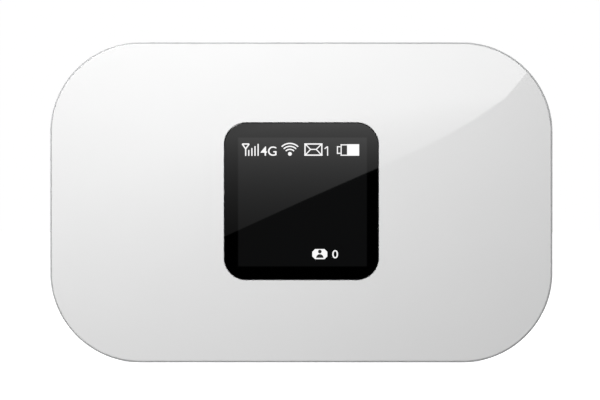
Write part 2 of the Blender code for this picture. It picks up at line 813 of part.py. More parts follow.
def make_wireless_antenna():
    """Short antenna of bent sheet, standing on the board by its foot."""
    foot_y = front_parts_y - antenna_sheet / 2
    tip_y = foot_y - wireless_antenna_stand
    depths = (foot_y, foot_y, tip_y, tip_y)
    path = [at_body(wireless_antenna_x, y, z) for y, z in zip(depths, wireless_antenna_z)]
    strip("antenna_wireless", "gold", (0, 0, 0), path, (1, 0, 0), wireless_antenna_width,
          antenna_sheet)


def make_usb():
    """USB socket: a drawn steel shell, shut at its inner end, and the contact tongue."""
    centre = at_body(y=usb_y)
    outer = (usb_shell_depth, usb_shell_width, usb_corner)
    inner = (usb_shell_depth - 2 * usb_sheet, usb_shell_width - 2 * usb_sheet, usb_corner - usb_sheet / 2)
    levels = [
        (*outer, usb_right),
        (*outer, usb_left),
        (*inner, usb_left),
        (*inner, usb_right - usb_sheet),
    ]
    stack("usb_socket", "steel", centre, "X", levels)
    block("usb_tongue", "black_plastic",
          at_body(usb_left + usb_tongue_sink, usb_y - usb_tongue_front, -usb_tongue_width / 2),
          at_body(usb_right - usb_sheet - fit_gap, usb_y + usb_tongue_rear, usb_tongue_width / 2),
          edge=0.1 * MM)


def socket_shell(name, width, low, high, height, mouth_width, mouth_height, mouth_up):
    """A card socket: a folded steel shell with its mouth at the upper or the lower end."""
    shell = block(name, "steel", at_body(card_x - width / 2, rear_parts_y, low),
                  at_body(card_x + width / 2, rear_parts_y + height, high), edge=0.1 * MM)
    mouth_front = rear_parts_y + socket_sheet
    mouth_low = low + socket_stop if mouth_up else low - through
    mouth_high = high + through if mouth_up else high - socket_stop
    mouth = block(f"{name}_mouth", None, at_body(card_x - mouth_width / 2, mouth_front, mouth_low),
                  at_body(card_x + mouth_width / 2, mouth_front + mouth_height, mouth_high))
    carve(shell, mouth)


def make_card_sockets():
    """SIM socket with its card, and the memory card socket above it."""
    socket_shell("sim_socket", sim_socket_width, sim_socket_bottom, sim_socket_top, sim_socket_height,
                 sim_width + 0.4 * MM, sim_thickness + 0.2 * MM, mouth_up=True)
    socket_shell("memory_socket", memory_socket_width, memory_socket_bottom, memory_socket_top,
                 memory_socket_height, memory_mouth_width, memory_mouth_height, mouth_up=False)
    card_y = rear_parts_y + socket_sheet + 0.1 * MM
    card = block("sim_card", "card_white", at_body(card_x - sim_width / 2, card_y, sim_bottom),
                 at_body(card_x + sim_width / 2, card_y + sim_thickness, sim_bottom + sim_length))
    corner = at_body(card_x + sim_width / 2, card_y + sim_thickness / 2, sim_bottom + sim_length)
    reach = Vector((sim_corner_cut / math.sqrt(2), through, sim_corner_cut / math.sqrt(2)))
    diagonal = block("sim_corner", None, corner - reach, corner + reach)
    diagonal.rotation_euler.y = math.radians(45)
    carve(card, diagonal)
    mover("sim_slide", at_body(card_x, card_y, sim_bottom), card)


def make_label(name, centre, width, height, rests_on_y):
    return prism(name, "label_white", centre, "Y", width, height, label_corner, rests_on_y + label_gap,
                 rests_on_y + label_gap + label_thickness, steps=2)


def make_battery():
    """Removable battery: cell in its can, end cap with terminals, and label."""
    centre = at_body(y=(battery_front_y + battery_rear_y) / 2)
    thickness = battery_rear_y - battery_front_y
    cap_left = battery_right - battery_cap_length
    cell = prism("battery_cell", "battery_grey", centre, "X", thickness, battery_height,
                 battery_corner, battery_left, cap_left - fit_gap)
    cap = prism("battery_cap", "black_plastic", centre, "X", thickness, battery_height,
                battery_corner, cap_left, battery_right)
    terminal_reach = Vector((0, terminal_depth / 2, terminal_height / 2))
    pocket_floor = centre + Vector((battery_right - terminal_pocket, 0, 0))
    pocket = block("terminal_recess", None, pocket_floor - terminal_reach,
                   pocket_floor + terminal_reach + Vector((through, 0, 0)))
    carve(cap, pocket)
    margin = Vector((fit_gap, fit_gap, fit_gap))
    terminals = block("battery_terminals", "gold", pocket_floor - terminal_reach + margin,
                      pocket_floor + terminal_reach - margin + Vector((terminal_pocket, 0, 0)))
    label = make_label("battery_label", at_body(x=(battery_left + cap_left) / 2),
                       cap_left - battery_left - 2 * label_margin,
                       battery_height - 2 * battery_corner - label_margin, battery_rear_y)
    mover("battery_slide", centre, cell, cap, terminals, label)
    make_label("bay_label", at_body(x=bay_label_x), bay_label_width, bay_label_height, plate_rear_y)


def make_battery_contacts():
    """Contact block on the board with its bent springs."""
    contact_right = contact_left + contact_depth
    housing = block("contact_block", "black_plastic",
                    at_body(contact_left, rear_parts_y, -contact_height / 2),
                    at_body(contact_right, contact_rear_y, contact_height / 2), edge=0.15 * MM)
    reaches = (spring_root, spring_knee, spring_nose, spring_nose, spring_knee, spring_root)
    slot_half = spring_width / 2 + spring_play
    slots = []
    for number in range(1, contact_count + 1):
        z = (number - (contact_count + 1) / 2) * contact_pitch
        slots.append(block(f"spring_slot_{number}", None,
                           at_body(contact_left - through, spring_y[0] - spring_play, z - slot_half),
                           at_body(contact_left + contact_slot_depth, spring_y[-1] + spring_play,
                                   z + slot_half)))
        path = [at_body(contact_left + reach, y, z) for reach, y in zip(reaches, spring_y)]
        strip(f"contact_spring_{number}", "gold", (0, 0, 0), path, (0, 0, 1), spring_width,
              spring_thickness)
    carve(housing, *slots)


def make_screws():
    """Pan-head case screws, from the chassis through the board into the front cover's posts."""
    head_y = plate_rear_y + 0.05 * MM
    chamfer = 0.25 * MM
    for number, point in screw_points():
        levels = [
            (2 * screw_radius - chamfer, 2 * screw_radius - chamfer, screw_radius - chamfer / 2,
             head_y - screw_length),
            (2 * screw_radius, 2 * screw_radius, screw_radius, head_y - screw_length + chamfer),
            (2 * screw_radius, 2 * screw_radius, screw_radius, head_y),
            (2 * screw_head_radius, 2 * screw_head_radius, screw_head_radius, head_y),
            (2 * screw_head_radius, 2 * screw_head_radius, screw_head_radius,
             head_y + screw_head_height - chamfer),
            (2 * (screw_head_radius - chamfer), 2 * (screw_head_radius - chamfer),
             screw_head_radius - chamfer, head_y + screw_head_height),
        ]
        stack(f"case_screw_{number}", "steel", point, "Y", levels, steps=3)


def main():
    clear_scene()
    make_front_cover()
    make_window()
    make_mid_frame()
    make_chassis()
    make_rear_cover()
    make_button("power", button_x)
    make_button("menu", -button_x)
    make_reset()
    make_display()
    make_board()
    make_shields()
    make_antenna("antenna_main", "antenna_carrier_left", -1)
    make_antenna("antenna_diversity", "antenna_carrier_right", 1)
    make_wireless_antenna()
    make_usb()
    make_card_sockets()
    make_battery()
    make_battery_contacts()
    make_screws()


main()
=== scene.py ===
import math

import bmesh
import bpy
from mathutils import Matrix, Quaternion, Vector


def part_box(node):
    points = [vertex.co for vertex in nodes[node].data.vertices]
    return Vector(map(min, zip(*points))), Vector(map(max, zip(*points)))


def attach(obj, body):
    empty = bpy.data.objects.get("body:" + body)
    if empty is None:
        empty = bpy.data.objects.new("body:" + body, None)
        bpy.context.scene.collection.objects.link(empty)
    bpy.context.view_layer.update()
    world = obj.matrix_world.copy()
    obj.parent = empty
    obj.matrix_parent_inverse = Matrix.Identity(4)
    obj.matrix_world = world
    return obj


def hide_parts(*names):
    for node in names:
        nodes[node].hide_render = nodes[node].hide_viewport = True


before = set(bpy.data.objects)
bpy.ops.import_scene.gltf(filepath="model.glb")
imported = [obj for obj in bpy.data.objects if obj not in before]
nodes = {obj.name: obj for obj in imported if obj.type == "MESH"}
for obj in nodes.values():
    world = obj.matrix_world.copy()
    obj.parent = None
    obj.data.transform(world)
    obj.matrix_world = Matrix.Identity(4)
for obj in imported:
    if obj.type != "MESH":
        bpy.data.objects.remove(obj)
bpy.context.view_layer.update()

mm = 0.001
xAxis, yAxis, zAxis = Vector((1, 0, 0)), Vector((0, 1, 0)), Vector((0, 0, 1))
bpy.ops.object.select_all(action="DESELECT")

bandLow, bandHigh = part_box("mid_frame")
coverLow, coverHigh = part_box("front_cover")
doorLow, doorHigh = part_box("rear_cover")
middle = (bandLow + bandHigh) / 2  # middle of the body
screenMiddle = middle + Vector((-0.04, 0, 0.37)) * mm
paneLow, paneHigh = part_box("display_window")
paneLow.z += 0.035 * mm
paneHigh.z += 0.095 * mm
keyCap = Vector((11, 2.4, 0)) * mm


# modelling helpers

def placed(name):
    piece = bpy.context.object
    piece.name = piece.data.name = name
    bpy.ops.object.transform_apply(location=True, rotation=True, scale=True)
    return piece


def addSlab(name, low, high):
    bpy.ops.object.select_all(action="DESELECT")
    bpy.ops.mesh.primitive_cube_add(size=1, location=(low + high) / 2, scale=high - low)
    return placed(name)


def addRod(name, start, end, radius, sides=32):
    bpy.ops.object.select_all(action="DESELECT")
    along = end - start
    turn = along.to_track_quat("Z", "Y").to_euler()
    bpy.ops.mesh.primitive_cylinder_add(vertices=sides, radius=radius, depth=along.length,
                                        location=(start + end) / 2, rotation=turn)
    return placed(name)


def addBar(name, start, end, outward, width, lift=0.008 * mm, depth=0.03 * mm):  # a straight stroke
    along = (end - start).normalized()
    turn = Matrix((along, outward.cross(along), outward)).transposed().to_euler()
    bpy.ops.object.select_all(action="DESELECT")
    bpy.ops.mesh.primitive_cube_add(size=1, location=(start + end) / 2 + outward * (lift - depth / 2),
                                    rotation=turn, scale=((end - start).length, width, depth))
    return roundCorners(placed(name), outward, width / 10, 1)


def addArc(name, centre, outward, radius, width, start, sweep, lift=0.008 * mm, depth=0.03 * mm):
    # a curved stroke, from the start angle through the sweep, both in degrees from +X
    radial = Quaternion(outward, math.radians(start)) @ xAxis
    turn = Matrix((radial, outward, radial.cross(outward))).transposed().to_euler()
    bpy.ops.object.select_all(action="DESELECT")
    place = centre + radial * radius + outward * (lift - depth / 2)
    bpy.ops.mesh.primitive_plane_add(size=1, location=place, rotation=turn)
    bpy.context.object.scale = (width, depth, 1)
    arc = placed(name)
    editOnly(arc, "FACE")
    bpy.ops.mesh.select_all(action="SELECT")
    bpy.ops.mesh.spin(steps=max(6, round(sweep / 8)), angle=-math.radians(sweep), center=centre,
                      axis=outward)
    stopEdit()
    return arc


def editOnly(piece, kind):
    bpy.ops.object.select_all(action="DESELECT")
    piece.select_set(True)
    bpy.context.view_layer.objects.active = piece
    bpy.ops.object.mode_set(mode="EDIT")
    bpy.ops.mesh.select_mode(type=kind)
    bpy.ops.mesh.select_all(action="DESELECT")
    return bmesh.from_edit_mesh(piece.data)


def pickFaces(piece, test):  # test(middle of the face, its normal)
    cage = editOnly(piece, "FACE")
    for face in cage.faces:
        face.select_set(test(face.calc_center_median(), face.normal))
    bmesh.update_edit_mesh(piece.data)


def pickEdges(piece, test):  # test(middle of the edge, its direction)
    cage = editOnly(piece, "EDGE")
    for edge in cage.edges:
        start, end = (corner.co for corner in edge.verts)
        edge.select_set(test((start + end) / 2, (end - start).normalized()))
    bmesh.update_edit_mesh(piece.data)


def stopEdit():
    bpy.ops.object.mode_set(mode="OBJECT")


def facing(direction, least=0.9):
    return lambda place, normal: normal.dot(direction) > least


def push(offset):  # extrudes the picked faces
    bpy.ops.mesh.extrude_region_move(TRANSFORM_OT_translate={"value": offset})


def roundCorners(piece, axis, radius, segments):
    pickEdges(piece, lambda place, direction: abs(direction.dot(axis)) > 0.999)
    bpy.ops.mesh.bevel(offset=radius, segments=segments, affect="EDGES")
    stopEdit()
    return piece


def softenRim(piece, direction, radius, segments):
    pickFaces(piece, facing(direction))
    bpy.ops.mesh.region_to_loop()
    bpy.ops.mesh.bevel(offset=radius, segments=segments, affect="EDGES")
    stopEdit()
    return piece


def roundSlab(name, low, high, axis, radius, segments):
    return roundCorners(addSlab(name, low, high), axis, radius, segments)


def useModifier(piece, kind, **settings):
    bpy.ops.object.select_all(action="DESELECT")
    piece.select_set(True)
    bpy.context.view_layer.objects.active = piece
    modifier = piece.modifiers.new(kind.lower(), kind)
    for key, value in settings.items():
        setattr(modifier, key, value)
    bpy.ops.object.modifier_apply(modifier=modifier.name)
    return piece


def combine(piece, other, operation):
    useModifier(piece, "BOOLEAN", operation=operation, solver="EXACT", object=other)
    bpy.data.objects.remove(other, do_unlink=True)
    return piece


def cutAway(piece, *cutters):
    for cutter in cutters:
        combine(piece, cutter, "DIFFERENCE")
    return piece


def weldOn(piece, *others):
    for other in others:
        combine(piece, other, "UNION")
    return piece


def joinAll(name, pieces):
    bpy.ops.object.select_all(action="DESELECT")
    for piece in pieces:
        piece.select_set(True)
    bpy.context.view_layer.objects.active = pieces[0]
    if len(pieces) > 1:
        bpy.ops.object.join()
    return placed(name)


def copyOf(piece, name, offset):
    bpy.ops.object.select_all(action="DESELECT")
    piece.select_set(True)
    bpy.context.view_layer.objects.active = piece
    bpy.ops.object.duplicate(linked=False)
    bpy.context.object.location += offset
    return placed(name)


def smooth(piece, degrees=35):
    bpy.ops.object.select_all(action="DESELECT")
    piece.select_set(True)
    bpy.context.view_layer.objects.active = piece
    bpy.ops.object.shade_smooth_by_angle(angle=math.radians(degrees))
    return useModifier(piece, "WEIGHTED_NORMAL", weight=100, keep_sharp=True)


def giveOut(piece, body, slot, material, *replaced, degrees=35):
    editOnly(piece, "FACE")
    bpy.ops.mesh.select_all(action="SELECT")
    bpy.ops.mesh.remove_doubles(threshold=1e-6)
    bpy.ops.mesh.normals_make_consistent(inside=False)
    stopEdit()
    smooth(piece, degrees)
    piece.data.materials.clear()
    piece.data.materials.append(material)
    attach(piece, body)
    if replaced:
        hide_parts(*replaced)
    return piece


# shader helpers

class Wire:
    def __init__(self, paint, socket):
        self.paint, self.socket = paint, socket

    def does(self, operation, *others, clamp=False):
        inputs = dict(enumerate((self, *others)))
        return self.paint.add("ShaderNodeMath", {"operation": operation, "use_clamp": clamp}, inputs)

    def __add__(self, other): return self.does("ADD", other)
    def __radd__(self, other): return self.does("ADD", other)
    def __mul__(self, other): return self.does("MULTIPLY", other)
    def __rmul__(self, other): return self.does("MULTIPLY", other)
    def __sub__(self, other): return self.does("SUBTRACT", other)
    def __rsub__(self, other): return (self * -1) + other
    def __truediv__(self, other): return self.does("DIVIDE", other)
    def __abs__(self): return self.does("ABSOLUTE")
    def clamped(self): return self.does("ADD", 0.0, clamp=True)
    def above(self, level, softness): return ((self - level) / softness + 0.5).clamped()


class Paint:
    def __init__(self, name, **surface):
        self.material = bpy.data.materials.new(name)
        self.openTree(self.material, "Principled BSDF", "Object")
        for key, value in surface.items():
            self.set(key.replace("_", " "), value)

    def openTree(self, owner, shader, place):
        owner.use_nodes = True
        self.tree = owner.node_tree
        self.shader = self.tree.nodes[shader]
        self.point = self.add("ShaderNodeTexCoord", output=place)

    def add(self, kind, settings=None, inputs=None, output=0):
        made = self.tree.nodes.new(kind)
        for key, value in (settings or {}).items():
            setattr(made, key, value)
        for key, value in (inputs or {}).items():
            self.plug(made.inputs[key], value)
        return Wire(self, made.outputs[output])

    def plug(self, socket, value):
        if isinstance(value, Wire):
            self.tree.links.new(value.socket, socket)
        else:
            socket.default_value = value

    def set(self, socket, value):
        if isinstance(value, tuple):
            value = (*value, 1.0)
        self.plug(self.shader.inputs[socket], value)

    def noise(self, size, detail=2.0, stretch=(1, 1, 1), roughness=0.5):
        place = self.add("ShaderNodeMapping", None, {"Vector": self.point, "Scale": stretch})
        return self.add("ShaderNodeTexNoise", None, {
            "Vector": place, "Scale": 1 / size, "Detail": detail, "Roughness": roughness})

    def cells(self, size):
        return self.add("ShaderNodeTexVoronoi", None, {"Vector": self.point, "Scale": 1 / size})

    def blend(self, amount, first, second):
        return self.add("ShaderNodeMix", {"data_type": "RGBA"},
                        {0: amount, 6: asColour(first), 7: asColour(second)}, output=2)

    def bump(self, height, depth, strength=1.0):
        self.set("Normal", self.add("ShaderNodeBump", None, {
            "Height": height, "Distance": depth, "Strength": strength}))


def asColour(value):
    return value if isinstance(value, Wire) else (*value, 1.0)


def coordinates(paint):
    return [paint.add("ShaderNodeSeparateXYZ", None, {"Vector": paint.point}, output=axis)
            for axis in range(3)]


# finishes

def whiteGloss():
    look = dict(colour=(0.80, 0.80, 0.80), shade=(0.785, 0.785, 0.785), grain=0.35 * mm)
    paint = Paint("whiteGloss", Coat_Weight=1.0, Coat_Roughness=0.012, Coat_IOR=1.58,
                  Specular_IOR_Level=0.0)
    cloud = paint.noise(9 * mm, 3)
    paint.set("Base Color", paint.blend(cloud, look["colour"], look["shade"]))
    paint.set("Roughness", 0.3 + paint.noise(2 * mm) * 0.1)
    paint.bump(paint.noise(look["grain"], 1), 0.002 * mm, 0.4)
    return paint.material


def whiteSatin():
    look = dict(colour=(0.80, 0.80, 0.795), shade=(0.77, 0.77, 0.765), spark=0.18 * mm)
    paint = Paint("whiteSatin", IOR=1.48)
    spark = paint.noise(look["spark"], 2, roughness=0.6)
    paint.set("Base Color", paint.blend(paint.noise(12 * mm, 3), look["colour"], look["shade"]))
    paint.set("Roughness", 0.42 + spark * 0.12)
    paint.bump(spark, 0.02 * mm, 0.35)
    return paint.material


def silverPaint():
    look = dict(colour=(0.45, 0.455, 0.46), flake=(0.53, 0.535, 0.54), flakeSize=0.09 * mm)
    paint = Paint("silverPaint", Metallic=0.1, IOR=1.4)
    flake = paint.cells(look["flakeSize"])
    paint.set("Base Color", paint.blend((flake * 1.3).clamped(), look["flake"], look["colour"]))
    paint.set("Roughness", 0.6 + paint.noise(1.5 * mm, 2) * 0.12)
    paint.bump(paint.noise(0.25 * mm, 2), 0.003 * mm, 0.5)
    return paint.material


def paneBlack():
    look = dict(side=25.4 * mm, aside=0.26 * mm, lower=0.28 * mm, fade=0.25 * mm,
                ink=(0.0001, 0.0001, 0.00012), deep=(0.0003, 0.0003, 0.00035),
                lit=(0.0039, 0.0040, 0.0041), sheen=0.28)
    paint = Paint("paneBlack", IOR=1.5, Coat_Roughness=0.01)
    x, _, z = coordinates(paint)
    acrossX = abs(x - (screenMiddle.x + look["aside"]))
    acrossZ = abs(z - (screenMiddle.z - look["lower"]))
    half = look["side"] / 2
    inside = (half - acrossX).above(0, look["fade"]) * (half - acrossZ).above(0, look["fade"])
    paint.set("Base Color", paint.blend(inside, look["ink"], look["deep"]))
    paint.set("Emission Color", paint.blend(inside, (0, 0, 0), look["lit"]))
    paint.shader.inputs["Emission Strength"].default_value = 1.0
    paint.set("Roughness", 0.008 + paint.noise(4 * mm, 3) * 0.006)
    paint.set("Coat Weight", inside * look["sheen"])
    return paint.material


def signLight(name, colour, strength):
    paint = Paint(name, Roughness=0.1, Base_Color=(0.02, 0.02, 0.02))
    dimmer = tuple(level * 0.96 for level in colour)
    paint.set("Emission Color", paint.blend(paint.noise(0.2 * mm, 1), dimmer, colour))
    paint.shader.inputs["Emission Strength"].default_value = strength
    return paint.material


def mouldedPlastic(name, colour, spark=0.15 * mm, roughness=0.5, depth=0.02 * mm):
    paint = Paint(name, IOR=1.5)
    grain = paint.noise(spark, 2, roughness=0.6)
    paler = tuple(level * 1.25 + 0.004 for level in colour)
    paint.set("Base Color", paint.blend(paint.noise(6 * mm, 3), colour, paler))
    paint.set("Roughness", roughness - 0.06 + grain * 0.12)
    paint.bump(grain, depth, 0.4)
    return paint.material


def sheetMetal(name, colour, darker, stretch=(1, 1, 12), roughness=0.28):
    paint = Paint(name, Metallic=1.0)
    streak = paint.noise(0.5 * mm, 3, stretch)
    paint.set("Base Color", paint.blend(streak, colour, darker))
    paint.set("Roughness", roughness - 0.08 + paint.noise(1.2 * mm, 3) * 0.2)
    paint.bump(streak, 0.004 * mm, 0.35)
    return paint.material


def solderMask():
    look = dict(mask=(0.008, 0.085, 0.035), copper=(0.02, 0.16, 0.07), via=(0.5, 0.42, 0.2),
                pitch=0.9 * mm)
    paint = Paint("solderMask", Roughness=0.28, Coat_Weight=0.6, Coat_Roughness=0.12)
    x, _, z = coordinates(paint)
    wander = paint.noise(7 * mm, 0)
    lane = ((x / look["pitch"] + wander * 6).does("FRACT") - 0.5)
    trace = abs(lane).above(0.28, 0.08)
    block = paint.noise(11 * mm, 0).above(0.5, 0.03)
    crossLane = ((z / look["pitch"] + wander * 6).does("FRACT") - 0.5)
    track = trace * block + (1 - block) * abs(crossLane).above(0.3, 0.08)
    hole = (0.16 - paint.cells(1.7 * mm)).above(0.0, 0.02)
    covered = paint.blend(track, look["mask"], look["copper"])
    paint.set("Base Color", paint.blend(hole, covered, look["via"]))
    paint.bump(track, 0.02 * mm, 0.6)
    return paint.material


def printedLabel(name, paper, ink, low, high):
    paint = Paint(name, Roughness=0.55)
    x, _, z = coordinates(paint)
    across = (x - low.x) / (high.x - low.x)
    up = (z - low.z) / (high.z - low.z)
    offX, offZ = abs(across - 0.5), abs(up - 0.5)
    border = (offX.above(0.478, 0.004) + offZ.above(0.462, 0.006)).clamped()
    beyond = (offX.above(0.484, 0.004) + offZ.above(0.472, 0.006)).clamped()
    frameLine = border * (1 - beyond)
    band = up.above(0.8, 0.01) * (1 - up.above(0.9, 0.01))
    band = band * across.above(0.05, 0.01) * (1 - across.above(0.95, 0.01))
    marks = (frameLine + band).clamped()
    fibre = paint.noise(0.3 * mm, 3, (1, 1, 4))
    tone = paint.blend(fibre, paper, tuple(level * 0.94 for level in paper))
    paint.set("Base Color", paint.blend(marks, tone, ink))
    paint.set("Roughness", 0.5 + fibre * 0.15)
    paint.bump(fibre, 0.004 * mm, 0.3)
    return paint.material


def amberFilm():
    paint = Paint("amberFilm", Roughness=0.3, Coat_Weight=0.5)
    x, _, _ = coordinates(paint)
    lane = abs((x / (0.5 * mm)).does("FRACT") - 0.5).above(0.25, 0.08)
    paint.set("Base Color", paint.blend(lane, (0.30, 0.13, 0.03), (0.62, 0.36, 0.12)))
    paint.set("Roughness", 0.28 + paint.noise(1 * mm) * 0.1)
    return paint.material


def cellGlass():
    paint = Paint("cellGlass", IOR=1.52)
    cloud = paint.noise(5 * mm, 2)
    paint.set("Base Color", paint.blend(cloud, (0.012, 0.013, 0.016), (0.02, 0.022, 0.026)))
    paint.set("Roughness", 0.06 + paint.noise(3 * mm, 2) * 0.05)
    return paint.material


print("finishes")
gloss = whiteGloss()
satin = whiteSatin()
silver = silverPaint()
blackPlastic = mouldedPlastic("blackPlastic", (0.016, 0.016, 0.017))
chassisGrey = mouldedPlastic("chassisGrey", (0.10, 0.10, 0.104), 0.2 * mm, 0.55, 0.03 * mm)
holderWhite = mouldedPlastic("holderWhite", (0.72, 0.72, 0.70), 0.3 * mm, 0.4, 0.01 * mm)
tapeBlack = mouldedPlastic("tapeBlack", (0.012, 0.012, 0.012), 0.25 * mm, 0.85, 0.05 * mm)
epoxy = mouldedPlastic("epoxy", (0.014, 0.014, 0.015), 0.08 * mm, 0.45, 0.01 * mm)
steel = sheetMetal("steel", (0.60, 0.60, 0.61), (0.45, 0.45, 0.46))
gold = sheetMetal("gold", (0.80, 0.58, 0.24), (0.66, 0.45, 0.17), (1, 1, 4), 0.25)
batterySilver = sheetMetal("batterySilver", (0.34, 0.35, 0.37), (0.28, 0.29, 0.31), (12, 1, 1), 0.42)


# casing

def buildFrontCover():
    size = dict(cornerRadius=17.5 * mm, rimRadius=0.14 * mm, wall=1.2 * mm, lipInset=1.1 * mm,
                lipWall=0.75 * mm, lipReach=1.22 * mm, windowGap=0.1 * mm, recessFloor=1.24 * mm,
                bossRim=1.85 * mm, bossRear=2.14 * mm, bossCorner=5.8 * mm, recessCorner=4.4 * mm,
                viewSide=27 * mm, viewCorner=1 * mm, postRadius=2.2 * mm, pilotRadius=0.85 * mm,
                pilotDepth=3.4 * mm)
    rearY = bandLow.y - 0.12 * mm
    cover = roundSlab("frontCover", coverLow, Vector((coverHigh.x, rearY, coverHigh.z)), yAxis,
                      size["cornerRadius"], 40)
    softenRim(cover, -yAxis, size["rimRadius"], 4)
    pickFaces(cover, facing(yAxis))
    bpy.ops.mesh.inset(thickness=size["lipInset"])
    push((0, size["lipReach"], 0))
    bpy.ops.mesh.inset(thickness=size["lipWall"])
    push((0, coverLow.y + size["wall"] - rearY - size["lipReach"], 0))
    stopEdit()
    gap = Vector((size["windowGap"], 0, size["windowGap"]))
    rim = Vector((size["bossRim"], 0, size["bossRim"]))
    bossLow = paneLow - gap - rim
    bossHigh = paneHigh + gap + rim
    bossLow.y, bossHigh.y = coverLow.y + size["wall"] / 2, coverLow.y + size["bossRear"]
    boss = roundSlab("boss", bossLow, bossHigh, yAxis, size["bossCorner"], 12)
    recessLow, recessHigh = paneLow - gap, paneHigh + gap
    recessLow.y, recessHigh.y = coverLow.y - 2 * mm, coverLow.y + size["recessFloor"]
    recess = roundSlab("recess", recessLow, recessHigh, yAxis, size["recessCorner"], 20)
    centre = (paneLow + paneHigh) / 2
    reach = Vector((size["viewSide"] / 2, 6 * mm, size["viewSide"] / 2))
    view = roundSlab("view", centre - reach, centre + reach, yAxis, size["viewCorner"], 6)
    weldOn(cover, boss)
    cutAway(cover, recess, view)
    posts = []
    for number in range(1, 7):
        low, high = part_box(f"case_screw_{number}")
        foot = Vector(((low.x + high.x) / 2, coverLow.y + size["wall"] / 2, (low.z + high.z) / 2))
        if posts:
            posts.append(copyOf(posts[0], f"post{number}", foot - firstFoot))
            continue
        firstFoot = foot
        tip = Vector((foot.x, coverHigh.y, foot.z))
        post = addRod("post1", foot, tip, size["postRadius"], 28)
        pickFaces(post, facing(yAxis))
        bpy.ops.mesh.inset(thickness=size["postRadius"] - size["pilotRadius"])
        push((0, -size["pilotDepth"], 0))
        stopEdit()
        posts.append(post)
    cover = joinAll("frontCover", [cover, *posts])
    return giveOut(cover, "housing", "white_gloss", gloss, "front_cover")


def buildPane():
    size = dict(cornerRadius=4.3 * mm, rimRadius=0.12 * mm)
    pane = roundSlab("windowPane", paneLow, paneHigh, yAxis, size["cornerRadius"], 24)
    softenRim(pane, -yAxis, size["rimRadius"], 3)
    return giveOut(pane, "housing", "black_window", paneBlack(), "display_window")


def buildBand():
    size = dict(cornerRadius=17.75 * mm, rimRadius=0.04 * mm, wall=1.2 * mm, keyGap=0.15 * mm,
                portDepth=3.4 * mm, portWidth=8.6 * mm, portRadius=1.2 * mm, flare=0.22 * mm,
                lip=0.19 * mm, lipDrop=0.07 * mm)
    front = Vector((bandLow.x, coverLow.y + size["lipDrop"], bandLow.z))
    band = roundSlab("edgeBand", front, bandHigh, yAxis, size["cornerRadius"], 40)
    softenRim(band, -yAxis, size["rimRadius"], 3)
    softenRim(band, yAxis, size["rimRadius"], 3)
    pickFaces(band, facing(-yAxis, 0.99))  # a thin lip frames the front cover
    bpy.ops.mesh.inset(thickness=size["lip"])
    push(yAxis * (bandLow.y - front.y))
    stopEdit()
    pickFaces(band, lambda place, normal: abs(normal.y) > 0.99 and (place - middle).xz.length < mm)
    bpy.ops.mesh.inset(thickness=size["wall"] - size["rimRadius"])
    bpy.ops.mesh.bridge_edge_loops()
    stopEdit()
    usbLow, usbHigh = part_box("usb_socket")
    usbMiddle = (usbLow + usbHigh) / 2
    reach = Vector((3 * mm, size["portDepth"] / 2, size["portWidth"] / 2))
    outer = Vector((bandLow.x + size["flare"], usbMiddle.y, usbMiddle.z))
    port = roundSlab("port", outer - Vector((0, reach.y, reach.z)), outer + reach, xAxis,
                     size["portRadius"], 10)
    flareOut(port, -xAxis, size["flare"], (1, 1.13, 1.05))
    cutters = [port]
    for node in ("power_button", "menu_button"):
        low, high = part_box(node)
        capReach = keyCap / 2 + Vector((size["keyGap"], size["keyGap"], 3 * mm))
        top = Vector(((low.x + high.x) / 2, 0, bandHigh.z - size["flare"]))
        slot = roundSlab("slot", top - capReach, Vector((top.x + capReach.x, capReach.y, top.z)), zAxis,
                         capReach.y * 0.999, 14)
        flareOut(slot, zAxis, size["flare"] / 2, (1.02, 1.08, 1))
        cutters.append(slot)
    cutAway(band, *cutters)
    return giveOut(band, "housing", "silver", silver, "mid_frame")


def flareOut(cutter, direction, depth, growth):  # widens a cutter where it leaves the surface
    pickFaces(cutter, facing(direction))
    push(direction * depth)
    bpy.ops.transform.resize(value=growth)
    push(direction * 3 * mm)
    stopEdit()


def buildDoor():
    size = dict(cornerRadius=17.5 * mm, rimRadius=1.6 * mm, wall=1.1 * mm, sideInset=1.25 * mm,
                clip=Vector((5, 0, 0.8)) * mm, clipInset=2.9 * mm, clipX=7 * mm, clipZ=12 * mm,
                notchRadius=7 * mm, notchDepth=1.0 * mm)
    frontY = bandHigh.y + 0.12 * mm
    low = Vector((doorLow.x, frontY, doorLow.z))
    door = roundSlab("batteryDoor", low, doorHigh, yAxis, size["cornerRadius"], 40)
    softenRim(door, yAxis, size["rimRadius"], 10)
    pickFaces(door, facing(-yAxis))
    bpy.ops.mesh.inset(thickness=size["sideInset"])
    push((0, doorHigh.y - size["wall"] - frontY, 0))
    stopEdit()
    notchCentre = Vector((doorHigh.x + size["notchRadius"] - size["notchDepth"], 0, middle.z))
    notch = addRod("notch", notchCentre, notchCentre + yAxis * (frontY + size["notchDepth"]),
                   size["notchRadius"], 72)
    cutAway(door, notch)
    clips = []
    rootY = doorHigh.y - size["wall"] / 2
    half = size["clip"] / 2
    for side in (-1, 1):
        for offset in (-1, 1):
            sideZ = middle.z + side * (middle.z - size["clipInset"])
            onLong = Vector((offset * size["clipX"], 0, sideZ))
            sideX = side * (bandHigh.x - size["clipInset"])
            onShort = Vector((sideX, 0, middle.z + offset * size["clipZ"]))
            clips.append(addClip(onLong, half, doorLow.y, rootY))
            clips.append(addClip(onShort, Vector((half.z, 0, half.x)), doorLow.y, rootY))
    door = joinAll("batteryDoor", [door, *clips])
    return giveOut(door, "door", "white_satin", satin, "rear_cover")


def addClip(place, half, tipY, rootY):
    clip = addSlab("clip", place - half + yAxis * tipY, place + half + yAxis * rootY)
    pickFaces(clip, facing(-yAxis))
    bpy.ops.transform.resize(value=(0.9, 1, 0.9))
    stopEdit()
    return clip


print("casing")
buildFrontCover()
buildPane()
buildBand()
buildDoor()


# keys

